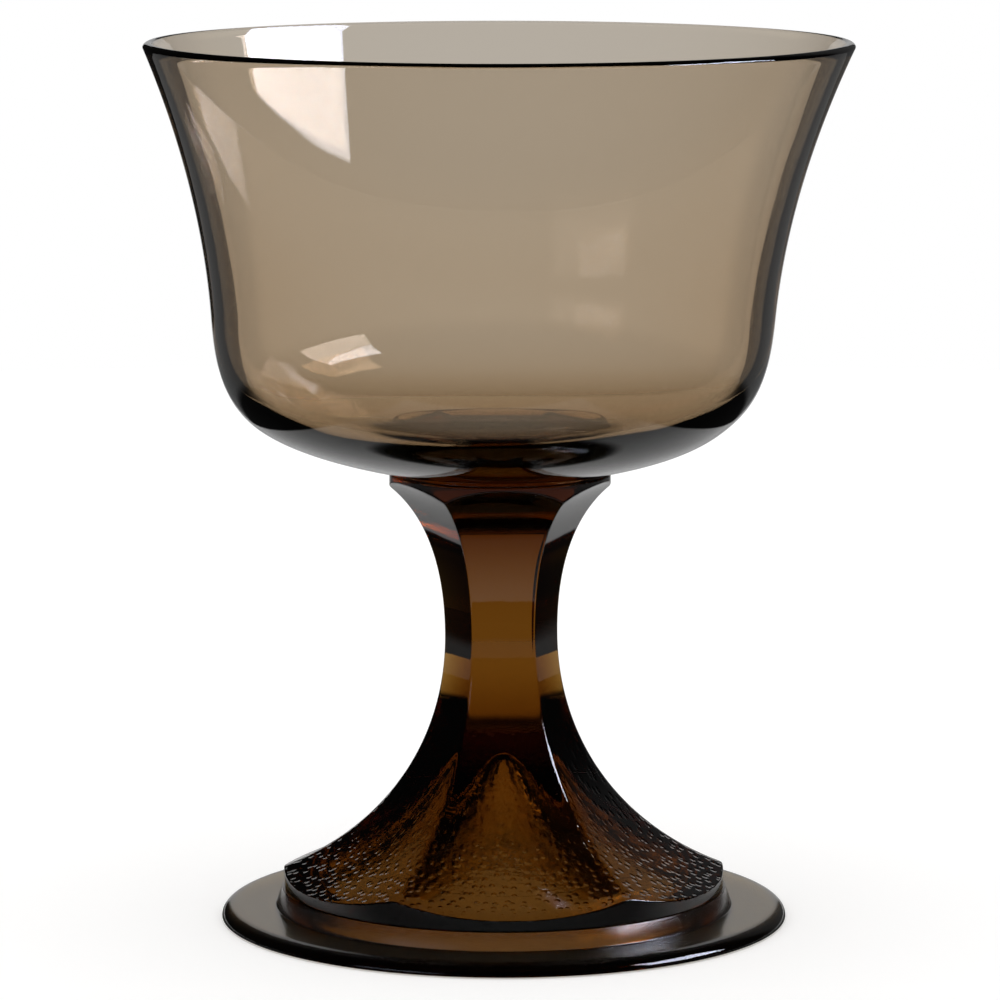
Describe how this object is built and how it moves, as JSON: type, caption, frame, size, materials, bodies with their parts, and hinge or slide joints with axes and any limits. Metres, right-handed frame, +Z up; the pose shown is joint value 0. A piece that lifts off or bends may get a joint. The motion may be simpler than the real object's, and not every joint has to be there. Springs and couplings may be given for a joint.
{
  "type": "sherbet glass",
  "caption": "Stemmed sherbet glass: smoke-brown bell-shaped bowl on a panelled stem that flares to a round cap and skirt, over a stepped round foot that is hollow beneath.",
  "frame": {"origin": "middle of the foot's underside, on the surface the glass stands on", "axes": "+Z up along the axis of the stem and bowl; -Y is the front, a flat panel of the stem faces it; +X to the right"},
  "size_m": [0.0918, 0.0918, 0.115],
  "materials": {
    "bowl_glass": "gloss",
    "stem_glass": "gloss"
  },
  "bodies": {
    "root": {"foot": "stem_glass", "stem": "stem_glass", "merese": "stem_glass", "bowl": "bowl_glass"}
  },
  "joints": []
}
